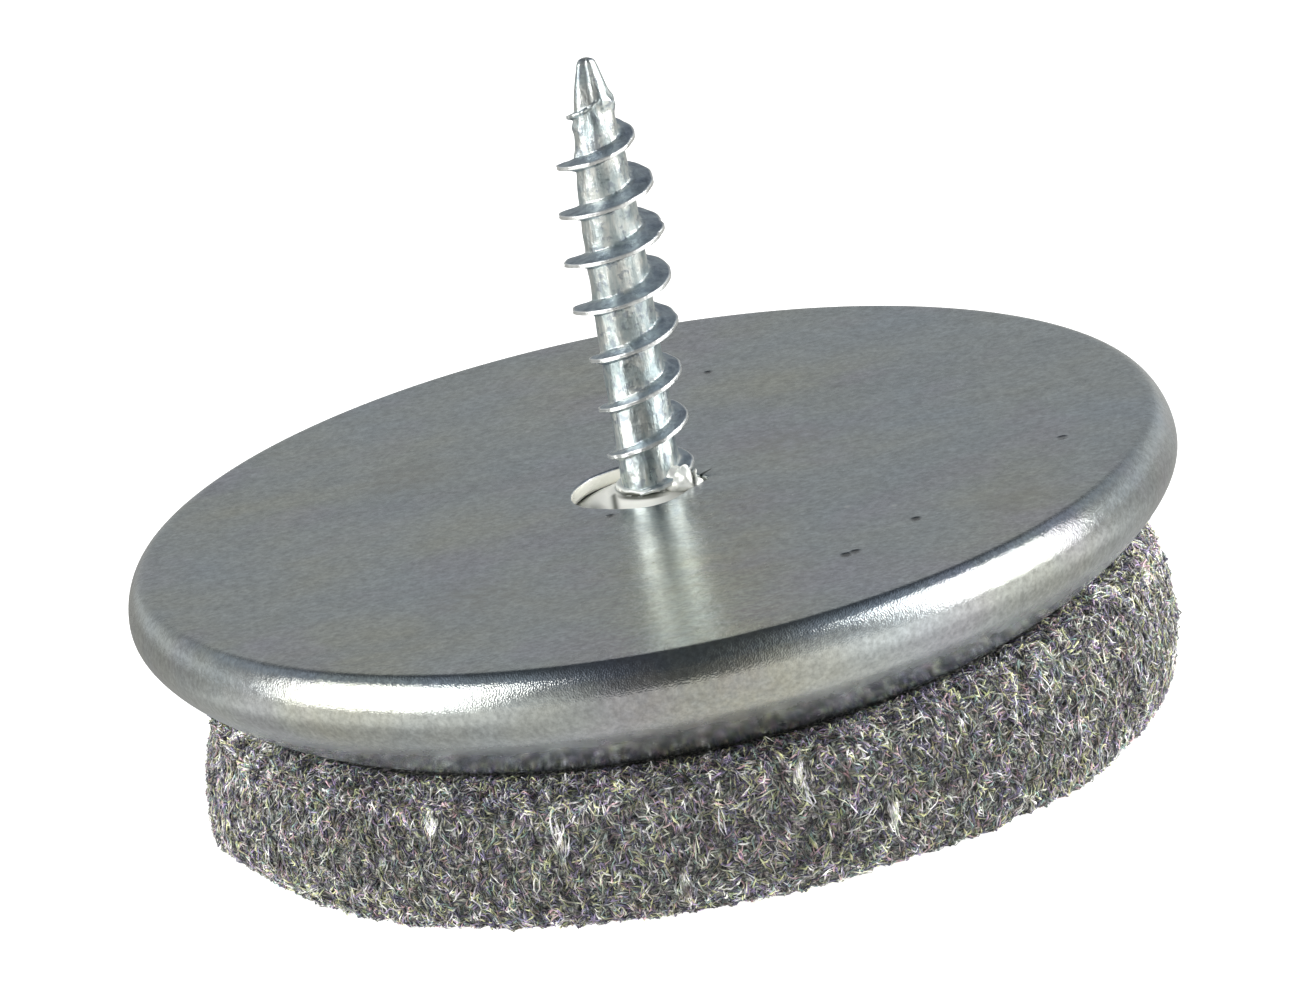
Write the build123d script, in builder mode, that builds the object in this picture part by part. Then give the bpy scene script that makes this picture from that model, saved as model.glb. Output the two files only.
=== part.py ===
from build123d import *
import math
import os

# Screw-on felt glide for a furniture leg: a pressed steel cup whose rim is curled
# in round a thick felt pad, with a wood screw standing out of the cup's centre.
# Millimetres, +Z up along the cup's axis, origin at the middle of the felt's face,
# which rests on the floor. The screw's tip points up.

# ---- driving dimensions ----
cup_diameter = 40.0
cup_top_z = 10.7  # floor to the flat plate
sheet = 0.55  # steel sheet of the cup
edge_radial = 0.94  # rounding between plate and side, radially
edge_drop = 1.49  # and downwards
lip_radius = 16.0  # where the curled rim ends
lip_drop = 5.15  # plate to the end of the rim
hole_diameter = 5.3
hole_x = -0.10  # the punched hole's place
hole_edge = 0.10  # rounding that the punch leaves

felt_radius = 18.6  # widest, low on the pad
felt_shoulder_radius = 18.1  # just under the rim
felt_shoulder_drop = 5.3  # plate to the top of the bulge
felt_edge_radial = 0.95  # rounding of the bottom edge
felt_edge_rise = 1.7
felt_gap = 0.05  # between felt and steel

screw_lean = 1.8  # degrees towards +X, as the screw stands in its hole
screw_x, screw_y = 0.28, 0.24  # foot of the screw's axis
screw_drop = 0.10  # plate to the shoulder where shank meets head
screw_length = 16.85  # shoulder to tip
core_radius = 1.14
head_radius = 4.0
collar_radius = 1.34  # ring at the foot of the shank, just above the plate
collar_rise = 0.18
head_slope = 0.39  # drop of the head's bearing cone for each mm of radius
head_thickness = 1.75  # shoulder to the head's flat end, which lies in the felt
tip_radius = 0.27
pitch = 1.87
thread_radius = 1.93
thread_root_width = 0.50
thread_crest_width = 0.10
thread_phase = 0.63  # crest height over the shoulder on the +X side
bead_size = (1.15, 0.95, 0.95)  # spot of weld that locks the screw in the hole
bead_at = (1.18, -0.85, 0.25)

os.makedirs("parts", exist_ok=True)

R = cup_diameter / 2
top = cup_top_z
under = top - sheet


# ---- pressed steel cup: one sheet, plate, rounded edge and rim curled inwards ----
with BuildPart() as steel_cup:
    with BuildSketch(Plane.XZ) as cup_section:
        with BuildLine() as cup_line:
            plate_top = Line((0, top), (R - edge_radial, top))
            outer_edge = EllipticalCenterArc(
                (R - edge_radial, top - edge_drop), edge_radial, edge_drop, start_angle=0, arc_size=90
            )
            outer_curl = Bezier(
                (R, top - edge_drop),
                (R, top - edge_drop - 1.31),
                (lip_radius + 1.98, top - lip_drop + 0.95),
                (lip_radius, top - lip_drop),
            )
            lip_in = (lip_radius - 0.23, top - lip_drop + 0.495)
            lip_end = ThreePointArc(
                (lip_radius, top - lip_drop),
                (lip_radius - 0.355, top - lip_drop + 0.135),
                lip_in,
            )
            inner_curl = Bezier(
                lip_in,
                (lip_radius + 1.75, top - lip_drop + 1.53),
                (R - sheet, top - edge_drop - 1.06),
                (R - sheet, top - edge_drop),
            )
            inner_edge = EllipticalCenterArc(
                (R - 1.20, top - edge_drop),
                1.20 - sheet,
                edge_drop - sheet,
                start_angle=0,
                arc_size=90,
            )
            plate_under = Line((R - 1.20, under), (0, under))
            Line((0, under), (0, top))
        make_face()
    revolve(axis=Axis.Z)
    with Locations((hole_x, 0, top)):
        Cylinder(hole_diameter / 2, 4 * sheet, mode=Mode.SUBTRACT)
    hole_rims = (
        steel_cup.edges()
        .filter_by(GeomType.CIRCLE)
        .filter_by(lambda e: abs(e.radius - hole_diameter / 2) < 1e-6)
        .sort_by(Axis.Z)
    )
    fillet(hole_rims[-1], hole_edge)

steel_cup.part.label = "steel_cup"
export_step(steel_cup.part, "parts/steel_cup.step")


# ---- wood screw: low cone head under the plate, threaded shank through the hole ----
lean = math.radians(screw_lean)
screw_plane = Plane(
    origin=(screw_x, screw_y, top - screw_drop),
    x_dir=(math.cos(lean), 0, -math.sin(lean)),
    z_dir=(math.sin(lean), 0, math.cos(lean)),
)
head_edge_z = -(head_radius - core_radius) * head_slope

# radius of the shank's core by height over the shoulder
core_steps = [(6.5, core_radius), (9.6, 1.12), (11.9, 1.03), (13.7, 0.87), (15.3, 0.64)]
# thread crest radius by turns, counted from the crest on the +X side nearest the plate;
# it is lower near the plate and runs out towards the point
crest_steps = [
    (-0.45, 1.30),
    (0.0, 1.68),
    (1.0, 1.70),
    (2.0, 1.72),
    (3.0, 1.88),
    (4.0, thread_radius),
    (5.0, thread_radius),
    (6.0, 1.80),
    (6.5, 1.66),
    (7.0, 1.38),
    (7.5, 1.00),
    (7.9, 0.70),
]


def core_at(z):
    """Core radius at a height over the shoulder, straight between the steps."""
    steps = [(0.0, core_radius)] + core_steps + [(screw_length, tip_radius)]
    for (z0, r0), (z1, r1) in zip(steps, steps[1:]):
        if z <= z1:
            return r0 + (r1 - r0) * (z - z0) / (z1 - z0) if z > z0 else r0
    return tip_radius


def ridge_turn(t0, t1, crest0, crest1):
    """One stretch of the thread's ridge between two turn counts: two flanks, crest
    and root as ruled surfaces between helices, and its two flat ends."""
    turns = t1 - t0
    z0 = thread_phase + pitch * t0
    z1 = thread_phase + pitch * t1
    root0, root1 = core_at(z0) - 0.12, core_at(z1) - 0.12
    slope = (thread_root_width - thread_crest_width) / (thread_radius - core_radius)
    half0 = (thread_crest_width + slope * (crest0 - root0)) / 2
    half1 = (thread_crest_width + slope * (crest1 - root1)) / 2
    crest = thread_crest_width / 2

    def helix(r_a, r_b, z_a, z_b):
        rise = z_b - z_a
        angle = math.atan2(r_b - r_a, rise)
        return Edge.make_helix(
            rise / turns / math.cos(angle),  # the pitch runs along the cone's side
            rise,
            r_a,
            center=(0, 0, z_a),
            angle=math.degrees(angle),
        )

    low_crest = helix(crest0, crest1, z0 - crest, z1 - crest)
    high_crest = helix(crest0, crest1, z0 + crest, z1 + crest)
    low_root = helix(root0, root1, z0 - half0, z1 - half1)
    high_root = helix(root0, root1, z0 + half0, z1 + half1)
    faces = [
        Face.make_surface_from_curves(low_crest, high_crest),
        Face.make_surface_from_curves(low_root, high_root),
        Face.make_surface_from_curves(low_crest, low_root),
        Face.make_surface_from_curves(high_crest, high_root),
    ]
    ring = [low_root, high_root, high_crest, low_crest]
    for end in (0, 1):
        faces.append(Face(Wire.make_polygon([e @ end for e in ring], close=True)))
    return Solid(Shell(faces)).rotate(Axis.Z, 360 * t0)


# shank and head, upright: the core tapers over its upper half to a blunt point
with BuildPart() as shank:
    with BuildSketch(Plane.XZ) as shank_section:
        with BuildLine():
            head_line = Polyline(
                (0, -head_thickness),
                (head_radius - 0.15, -head_thickness),
                (head_radius, -head_thickness + 0.15),
                (head_radius, head_edge_z),
                (collar_radius, -(collar_radius - core_radius) * head_slope),
                (collar_radius, collar_rise - 0.10),
                (collar_radius - 0.10, collar_rise),
                (core_radius, collar_rise),
                (core_radius, 6.5),
            )
            taper = Spline(
                (core_radius, 6.5),
                *[(r, z) for z, r in core_steps[1:]],
                (tip_radius + 0.03, screw_length - 0.20),
                tangents=[(0, 1), (-0.25, 1)],
            )
            point = Polyline(
                (tip_radius + 0.03, screw_length - 0.20),
                (tip_radius - 0.05, screw_length - 0.07),
                (tip_radius - 0.16, screw_length),
                (0, screw_length),
            )
            Line((0, screw_length), (0, -head_thickness))
        make_face()
    revolve(axis=Axis.Z)

# spot of weld on the shoulder, which stops the screw from turning in the cup
weld_spot = scale(Sphere(0.5, mode=Mode.PRIVATE), by=bead_size)

with BuildPart() as upright_screw:
    add(shank.part.rotate(Axis.Z, 37))
    for (t0, crest0), (t1, crest1) in zip(crest_steps, crest_steps[1:]):
        add(ridge_turn(t0, t1, crest0, crest1))
    with Locations(bead_at):
        add(weld_spot)

with BuildPart() as wood_screw:
    with Locations(screw_plane):
        add(upright_screw.part)

wood_screw.part.label = "wood_screw"
export_step(wood_screw.part, "parts/wood_screw.step")


# ---- felt pad: fills the cup, is pinched by the curled rim and bulges out below it ----
bulge_top = top - felt_shoulder_drop
with BuildPart() as felt_pad:
    with BuildSketch(Plane.XZ) as felt_section:
        with BuildLine():
            Line((0, 0), (felt_radius - felt_edge_radial, 0))
            EllipticalCenterArc(
                (felt_radius - felt_edge_radial, felt_edge_rise),
                felt_edge_radial,
                felt_edge_rise,
                start_angle=-90,
                arc_size=90,
            )
            Spline(
                (felt_radius, felt_edge_rise),
                (felt_shoulder_radius + 0.30, (felt_edge_rise + bulge_top) / 2 + 0.35),
                (felt_shoulder_radius, bulge_top - 0.75),
                tangents=[(0, 1), (-0.12, 1)],
            )
            Spline(
                (felt_shoulder_radius, bulge_top - 0.75),
                (felt_shoulder_radius - 0.75, bulge_top),
                tangents=[(-0.12, 1), (-1, 0)],
            )
            Polyline(
                (felt_shoulder_radius - 0.75, bulge_top),
                (lip_radius - 0.10, top - lip_drop - 0.16),
                (lip_radius - 0.46, top - lip_drop + 0.00),
                (lip_radius - 0.52, top - lip_drop + 0.34),
                (lip_radius - 0.34, top - lip_drop + 0.60),
            )
            Bezier(
                (lip_radius - 0.34, top - lip_drop + 0.60),
                (lip_radius + 1.66, top - lip_drop + 1.63),
                (R - sheet - felt_gap, top - edge_drop - 0.99),
                (R - sheet - felt_gap, top - edge_drop),
            )
            EllipticalCenterArc(
                (R - 1.20, top - edge_drop),
                1.20 - sheet - felt_gap,
                edge_drop - sheet - felt_gap,
                start_angle=0,
                arc_size=90,
            )
            Line((R - 1.20, under - felt_gap), (0, under - felt_gap))
            Line((0, under - felt_gap), (0, 0))
        make_face()
    revolve(axis=Axis.Z)
    # round pocket that the screw's head presses into the felt
    with BuildSketch(screw_plane.offset(-head_thickness - 0.05)) as pocket:
        Circle(head_radius + 0.06)
    extrude(amount=4, mode=Mode.SUBTRACT)

felt_pad.part.label = "felt_pad"
export_step(felt_pad.part, "parts/felt_pad.step")
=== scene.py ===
import math

import bpy
import numpy as np
from mathutils import Matrix, Vector


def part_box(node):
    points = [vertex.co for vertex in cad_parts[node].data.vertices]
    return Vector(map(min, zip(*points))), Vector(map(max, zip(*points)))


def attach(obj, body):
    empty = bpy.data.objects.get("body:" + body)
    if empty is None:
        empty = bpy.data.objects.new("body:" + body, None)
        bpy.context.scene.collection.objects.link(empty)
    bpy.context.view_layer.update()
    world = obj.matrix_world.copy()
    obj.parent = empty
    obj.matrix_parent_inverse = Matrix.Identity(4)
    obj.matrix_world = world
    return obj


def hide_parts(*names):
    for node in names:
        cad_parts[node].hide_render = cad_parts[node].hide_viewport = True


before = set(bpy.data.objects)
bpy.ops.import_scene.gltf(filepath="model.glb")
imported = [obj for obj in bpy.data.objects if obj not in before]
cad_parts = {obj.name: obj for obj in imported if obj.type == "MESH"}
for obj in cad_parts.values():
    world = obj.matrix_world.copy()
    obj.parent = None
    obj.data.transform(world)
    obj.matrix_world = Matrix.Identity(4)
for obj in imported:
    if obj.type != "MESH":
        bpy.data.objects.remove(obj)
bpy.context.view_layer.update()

# The shapes below are worked out in millimetres and scaled to metres when a mesh is made.
MM = 0.001
cup_lo, cup_hi = (np.array(p, float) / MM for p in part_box("steel_cup"))
felt_lo, felt_hi = (np.array(p, float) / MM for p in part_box("felt_pad"))
screw_lo, screw_hi = (np.array(p, float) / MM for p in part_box("wood_screw"))
TOP = cup_hi[2]  # the plate
R = (cup_hi[0] - cup_lo[0]) / 2
FR = R - 1.4  # the felt where it shows, below the rim
SHEET = 0.55
TAU = 2 * math.pi


# ------------------------------------------------------------------ helpers
def new_mesh(name, verts, faces, material, smooth=True):
    """An object from vertices in millimetres and an (n, 3) or (n, 4) array of faces, or a list of such arrays."""
    groups = faces if isinstance(faces, list) else [faces]
    me = bpy.data.meshes.new(name)
    verts = np.ascontiguousarray(np.asarray(verts, float) * MM, np.float32)
    loops = np.concatenate([np.asarray(g, np.int32).ravel() for g in groups])
    counts = np.concatenate([np.full(len(g), g.shape[1], np.int32) for g in groups])
    starts = np.concatenate([[0], np.cumsum(counts)[:-1]]).astype(np.int32)
    me.vertices.add(len(verts))
    me.vertices.foreach_set("co", verts.ravel())
    me.loops.add(len(loops))
    me.loops.foreach_set("vertex_index", loops)
    me.polygons.add(len(counts))
    me.polygons.foreach_set("loop_start", starts)
    me.polygons.foreach_set("loop_total", counts)
    me.polygons.foreach_set("use_smooth", np.full(len(counts), smooth))
    me.update(calc_edges=True)
    me.validate()
    me.materials.append(material)
    ob = bpy.data.objects.new(name, me)
    bpy.context.scene.collection.objects.link(ob)
    return ob


def waves(seed, count, around, along, power=0.0):
    """A smooth, repeatable noise of unit size over (angle, height); around and along are the ranges of waves per turn and per millimetre."""
    rng = np.random.default_rng(seed)
    k = rng.integers(around[0], around[1] + 1, count)
    w = rng.uniform(along[0], along[1], count) * rng.choice([-1, 1], count) * TAU
    p = rng.uniform(0, TAU, count)
    a = (1.0 / (1.0 + k)) ** power
    a = a / math.sqrt((a * a).sum() / 2)

    def at(phi, z):
        phi, z = np.broadcast_arrays(np.asarray(phi, float), np.asarray(z, float))
        out = np.zeros(phi.shape)
        for ki, wi, pi, ai in zip(k, w, p, a):
            out += ai * np.sin(ki * phi + wi * z + pi)
        return out

    return at


def bump_at(phi, centre_deg, width_deg):
    """1 at an angle, falling smoothly to 0 round it."""
    d = (np.asarray(phi) - math.radians(centre_deg) + math.pi) % TAU - math.pi
    return np.exp(-((d / math.radians(width_deg)) ** 2))


def bezier(p, n, ends=(True, True)):
    t = np.linspace(0, 1, n + 1)
    if not ends[0]:
        t = t[1:]
    if not ends[1]:
        t = t[:-1]
    p = np.asarray(p, float)
    t = t[:, None]
    return (1 - t) ** 3 * p[0] + 3 * (1 - t) ** 2 * t * p[1] + 3 * (1 - t) * t * t * p[2] + t**3 * p[3]


def line(a, b, n, ends=(True, True), power=1.0):
    t = np.linspace(0, 1, n + 1) ** power
    if not ends[0]:
        t = t[1:]
    if not ends[1]:
        t = t[:-1]
    return np.asarray(a, float) + t[:, None] * (np.asarray(b, float) - np.asarray(a, float))


def arc(cx, cz, rx, rz, a0, a1, n, ends=(True, True)):
    a = np.radians(np.linspace(a0, a1, n + 1))
    if not ends[0]:
        a = a[1:]
    if not ends[1]:
        a = a[:-1]
    return np.stack([cx + rx * np.cos(a), cz + rz * np.sin(a)], 1)


def revolved(profile, segments, shift=None, ring=True):
    """Vertices and quads of a profile [(r, z)] turned about Z. A ring's profile closes on itself; otherwise its ends lie on the axis.
    shift(phi, index, r, z) may return moved r, z."""
    profile = np.asarray(profile, float)
    n = len(profile)
    phi = np.arange(segments) * TAU / segments
    r = np.repeat(profile[None, :, 0], segments, 0)
    z = np.repeat(profile[None, :, 1], segments, 0)
    if shift is not None:
        r, z = shift(phi[:, None], np.arange(n)[None, :], r, z)
    x, y = r * np.cos(phi)[:, None], r * np.sin(phi)[:, None]
    if ring:
        verts = np.stack([x, y, z], 2).reshape(-1, 3)
        i, j = np.meshgrid(np.arange(segments), np.arange(n), indexing="ij")
        i2, j2 = (i + 1) % segments, (j + 1) % n
        quads = np.stack([i * n + j, i2 * n + j, i2 * n + j2, i * n + j2], 2).reshape(-1, 4)
        return verts, [quads]
    inner = slice(1, n - 1)
    m = n - 2
    verts = np.stack([x[:, inner], y[:, inner], z[:, inner]], 2).reshape(-1, 3)
    verts = np.vstack([verts, [[0, 0, profile[0, 1]], [0, 0, profile[-1, 1]]]])
    a, b = segments * m, segments * m + 1
    i, j = np.meshgrid(np.arange(segments), np.arange(m - 1), indexing="ij")
    i2 = (i + 1) % segments
    quads = np.stack([i * m + j, i2 * m + j, i2 * m + j + 1, i * m + j + 1], 2).reshape(-1, 4)
    s = np.arange(segments)
    s2 = (s + 1) % segments
    first = np.stack([np.full(segments, a), s2 * m, s * m], 1)
    last = np.stack([np.full(segments, b), s * m + m - 1, s2 * m + m - 1], 1)
    return verts, [quads, np.vstack([first, last])]


# ------------------------------------------------------------------ materials
class Nodes:
    """A short way to write a node tree."""

    def __init__(self, tree):
        self.tree = tree
        self.tree.nodes.clear()

    def add(self, kind, **settings):
        n = self.tree.nodes.new(kind)
        for k, v in settings.items():
            setattr(n, k, v)
        return n

    def link(self, a, b):
        self.tree.links.new(a, b)

    def value(self, socket, v):
        if hasattr(v, "is_output"):
            self.link(v, socket)
        else:
            socket.default_value = v

    def noise(self, vector, scale, detail=2.0, rough=0.5, kind="FBM", distortion=0.0, out="Fac"):
        n = self.add("ShaderNodeTexNoise", noise_dimensions="3D", noise_type=kind)
        self.link(vector, n.inputs["Vector"])
        n.inputs["Scale"].default_value = scale
        n.inputs["Detail"].default_value = detail
        n.inputs["Roughness"].default_value = rough
        n.inputs["Distortion"].default_value = distortion
        return n.outputs[out]

    def voronoi(self, vector, scale, feature="F1", out="Distance", randomness=1.0):
        n = self.add("ShaderNodeTexVoronoi", feature=feature)
        self.link(vector, n.inputs["Vector"])
        n.inputs["Scale"].default_value = scale
        n.inputs["Randomness"].default_value = randomness
        return n.outputs[out]

    def math(self, op, a, b=0.0, c=None, clamp=False):
        n = self.add("ShaderNodeMath", operation=op, use_clamp=clamp)
        self.value(n.inputs[0], a)
        self.value(n.inputs[1], b)
        if c is not None:
            self.value(n.inputs[2], c)
        return n.outputs[0]

    def ramp(self, fac, stops, interpolation="LINEAR"):
        n = self.add("ShaderNodeValToRGB")
        n.color_ramp.interpolation = interpolation
        e = n.color_ramp.elements
        while len(e) < len(stops):
            e.new(0.5)
        for el, (p, c) in zip(e, stops):
            el.position = p
            el.color = (*c, 1.0) if hasattr(c, "__len__") else (c, c, c, 1.0)
        self.link(fac, n.inputs["Fac"])
        return n.outputs["Color"]

    def range(self, v, a, b, c=0.0, d=1.0, smooth=False):
        n = self.add("ShaderNodeMapRange", interpolation_type="SMOOTHSTEP" if smooth else "LINEAR")
        self.link(v, n.inputs["Value"])
        for name, x in (("From Min", a), ("From Max", b), ("To Min", c), ("To Max", d)):
            n.inputs[name].default_value = x
        return n.outputs["Result"]

    def mix(self, fac, a, b, blend="MIX"):
        n = self.add("ShaderNodeMix", data_type="RGBA", blend_type=blend)
        self.value(n.inputs[0], fac)
        for s, v in ((n.inputs[6], a), (n.inputs[7], b)):
            if hasattr(v, "is_output"):
                self.link(v, s)
            else:
                s.default_value = (*v, 1.0)
        return n.outputs[2]

    def mapping(self, vector, scale=(1, 1, 1), rotation=(0, 0, 0), location=(0, 0, 0)):
        n = self.add("ShaderNodeMapping")
        self.link(vector, n.inputs["Vector"])
        n.inputs["Scale"].default_value = scale
        n.inputs["Rotation"].default_value = rotation
        n.inputs["Location"].default_value = location
        return n.outputs["Vector"]


def principled(name):
    mat = bpy.data.materials.new(name)
    mat.use_nodes = True
    t = Nodes(mat.node_tree)
    out = t.add("ShaderNodeOutputMaterial")
    bsdf = t.add("ShaderNodeBsdfPrincipled")
    t.link(bsdf.outputs["BSDF"], out.inputs["Surface"])
    place = t.add("ShaderNodeTexCoord").outputs["Object"]
    return mat, t, bsdf, place


def spots(t, place, centres, size, soft):
    """1 inside small round spots at given places in millimetres, 0 outside."""
    total = None
    for c in centres:
        n = t.add("ShaderNodeVectorMath", operation="DISTANCE")
        t.link(place, n.inputs[0])
        n.inputs[1].default_value = [v * MM for v in c[:3]]
        s = size * (c[3] if len(c) > 3 else 1.0)
        inside = t.range(n.outputs["Value"], s * MM, (s + soft) * MM, 1.0, 0.0, smooth=True)
        total = inside if total is None else t.math("MAXIMUM", total, inside)
    return total


def zinc_cup():
    """Bright zinc plating on cold rolled sheet: cool grey, fine grain, faint rolling streaks, soft stains, a few pits."""
    mat, t, bsdf, place = principled("zinc_plated_cup")
    # soft clouds of tint
    cloud = t.noise(place, 130, 3.0, 0.55)
    cloud2 = t.noise(t.mapping(place, location=(0.3, 0.1, 0.2)), 210, 2.0, 0.5)
    streak = t.noise(t.mapping(place, scale=(35, 520, 120), rotation=(0, 0, 0.05)), 1.0, 4.0, 0.6)
    grain = t.noise(place, 5200, 2.0, 0.6)
    grain2 = t.noise(place, 1700, 3.0, 0.6)
    base = t.ramp(cloud, [(0.30, (0.548, 0.602, 0.645)), (0.50, (0.590, 0.622, 0.612)), (0.68, (0.622, 0.628, 0.556))])
    base = t.mix(t.range(cloud2, 0.50, 0.68, 0.0, 0.60), base, (0.584, 0.562, 0.630))
    base = t.mix(t.range(streak, 0.45, 0.72, 0.0, 0.5), base, (0.522, 0.552, 0.560))
    mottle = t.noise(t.mapping(place, location=(0.1, 0.2, 0.0)), 2400, 2.0, 0.55)
    grey = t.math("MULTIPLY", t.range(grain, 0.3, 0.7, 0.82, 1.16), t.range(mottle, 0.3, 0.7, 0.90, 1.08))
    tint = t.add("ShaderNodeCombineColor")
    for k in range(3):
        t.link(grey, tint.inputs[k])
    base = t.mix(1.0, base, tint.outputs[0], "MULTIPLY")
    # brownish stains and dark pits
    stain = spots(t, place, [(5.4, 1.4, TOP, 1.0), (13.3, -10.1, TOP, 0.7), (-9.0, 6.0, TOP, 0.8), (-6.8, -9.4, TOP, 0.9)], 0.3, 2.6)
    base = t.mix(t.math("MULTIPLY", stain, t.range(grain2, 0.35, 0.6, 0.0, 0.5)), base, (0.47, 0.455, 0.415))
    pit = spots(t, place, [(9.55, -10.0, TOP, 0.8), (6.75, -12.5, TOP, 1.0), (7.1, -12.35, TOP, 0.8), (15.6, -3.9, TOP, 0.8), (-1.5, -2.95, TOP, 0.25), (3.2, 12.0, TOP, 0.3)], 0.10, 0.22)
    base = t.mix(t.math("MULTIPLY", pit, t.range(grain2, 0.3, 0.55, 0.3, 0.9)), base, (0.10, 0.10, 0.10))
    fleck = spots(t, place, [(8.9, -8.0, TOP, 1.0), (7.2, -7.1, TOP, 1.0), (-4.0, 9.0, TOP, 0.8)], 0.05, 0.14)
    base = t.mix(t.math("MULTIPLY", fleck, 0.7), base, (0.85, 0.86, 0.85))
    # distance from the axis: the left of the punched hole's wall is painted bright cream and less metallic, a painted
    # highlight; the rolled rim is rougher than the plate
    axis = t.add("ShaderNodeVectorMath", operation="LENGTH")
    t.link(t.mapping(place, scale=(1, 1, 0)), axis.inputs[0])
    radius = axis.outputs["Value"]
    west = t.add("ShaderNodeSeparateXYZ")
    t.link(place, west.inputs[0])
    # painted reflection: the rim's underside is tinted blue, the colour it shows from what it reflects
    below = t.math("MULTIPLY", t.range(west.outputs["Z"], 0.0086, 0.0070, 0.0, 0.75, smooth=True), t.range(radius, 0.0150, 0.0160, 0.0, 1.0))
    base = t.mix(below, base, (0.83, 0.90, 1.0))
    # painted reflection: a warmer tone on the plate in front of the screw, where the screw's bright reflection lies
    screw_reflection_tint = t.math("MULTIPLY", t.range(t.math("ABSOLUTE", t.math("SUBTRACT", west.outputs["X"], 0.0009)), 0.0006, 0.0062, 1.0, 0.0, smooth=True), t.range(west.outputs["Y"], -0.0020, -0.0030, 0.0, 1.0))
    base = t.mix(t.math("MULTIPLY", screw_reflection_tint, t.range(grain2, 0.35, 0.6, 0.40, 0.80)), base, t.mix(1.0, base, (1.0, 0.94, 0.83), "MULTIPLY"))
    # a hairline crack from the spot of weld outwards
    along = t.math("ADD", t.math("MULTIPLY", t.math("SUBTRACT", west.outputs["X"], 0.00185), 0.693), t.math("MULTIPLY", t.math("ADD", west.outputs["Y"], 0.00045), 0.721))
    across = t.math("ABSOLUTE", t.math("SUBTRACT", t.math("MULTIPLY", t.math("SUBTRACT", west.outputs["X"], 0.00185), 0.721), t.math("MULTIPLY", t.math("ADD", west.outputs["Y"], 0.00045), 0.693)))
    wide = t.range(along, 0.0, 0.00105, 0.00013, 0.00003)
    crack = t.math("MULTIPLY", t.math("LESS_THAN", across, wide), t.math("MULTIPLY", t.math("GREATER_THAN", along, -0.0001), t.math("LESS_THAN", along, 0.00105)))
    base = t.mix(t.math("MULTIPLY", crack, 0.9), base, (0.06, 0.07, 0.06))
    # painted highlight: the hole's wall on the left is cream and less metallic
    wall = t.math("MULTIPLY", t.range(radius, 0.0032, 0.0033, 1.0, 0.0), t.range(west.outputs["X"], -0.0004, 0.0004, 1.0, 0.0))
    wall = t.math("MULTIPLY", wall, t.range(west.outputs["Z"], float(TOP - 0.07) * MM, float(TOP - 0.03) * MM, 1.0, 0.0))
    base = t.mix(wall, base, (1.0, 0.99, 0.91))
    t.link(t.math("SUBTRACT", 1.0, t.math("MULTIPLY", wall, 0.7)), bsdf.inputs["Metallic"])
    t.link(base, bsdf.inputs["Base Color"])
    rough = t.range(grain2, 0.3, 0.7, 0.205, 0.265)
    rough = t.math("ADD", rough, t.range(streak, 0.4, 0.7, 0.0, 0.03))
    rolled = t.range(radius, 0.0188, 0.0194, 0.0, 1.0, smooth=True)
    under = t.math("MULTIPLY", t.range(west.outputs["Z"], 0.0086, 0.0072, 0.0, 1.0, smooth=True), rolled)
    rough = t.math("ADD", rough, t.math("MULTIPLY", rolled, -0.085))
    rough = t.math("ADD", rough, t.math("MULTIPLY", under, 0.22))
    t.link(rough, bsdf.inputs["Roughness"])
    # grain of the plating and the rolled sheet
    b1 = t.add("ShaderNodeBump")
    b1.inputs["Strength"].default_value = 0.6
    b1.inputs["Distance"].default_value = 0.000010
    fleck_grain = t.voronoi(place, 15500)
    sparkle = t.math("MULTIPLY", t.range(radius, 0.0184, 0.0192, 0.0, 1.1, smooth=True), fleck_grain)
    sparkle = t.math("MULTIPLY", sparkle, t.range(west.outputs["Z"], 0.0088, 0.0100, 0.12, 1.0, smooth=True))
    height = t.math("ADD", t.math("MULTIPLY", grain, 1.0), t.math("MULTIPLY", grain2, 0.45))
    height = t.math("MULTIPLY", height, t.math("SUBTRACT", 1.0, t.math("MULTIPLY", rolled, 0.72)))
    height = t.math("ADD", height, sparkle)
    height = t.math("ADD", height, t.math("MULTIPLY", streak, 0.25))
    t.link(height, b1.inputs["Height"])
    b2 = t.add("ShaderNodeBump")
    b2.inputs["Strength"].default_value = 0.6
    b2.inputs["Distance"].default_value = 0.00006
    t.link(t.math("SUBTRACT", 1.0, pit), b2.inputs["Height"])
    t.link(b1.outputs["Normal"], b2.inputs["Normal"])
    t.link(b2.outputs["Normal"], bsdf.inputs["Normal"])
    return mat


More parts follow.
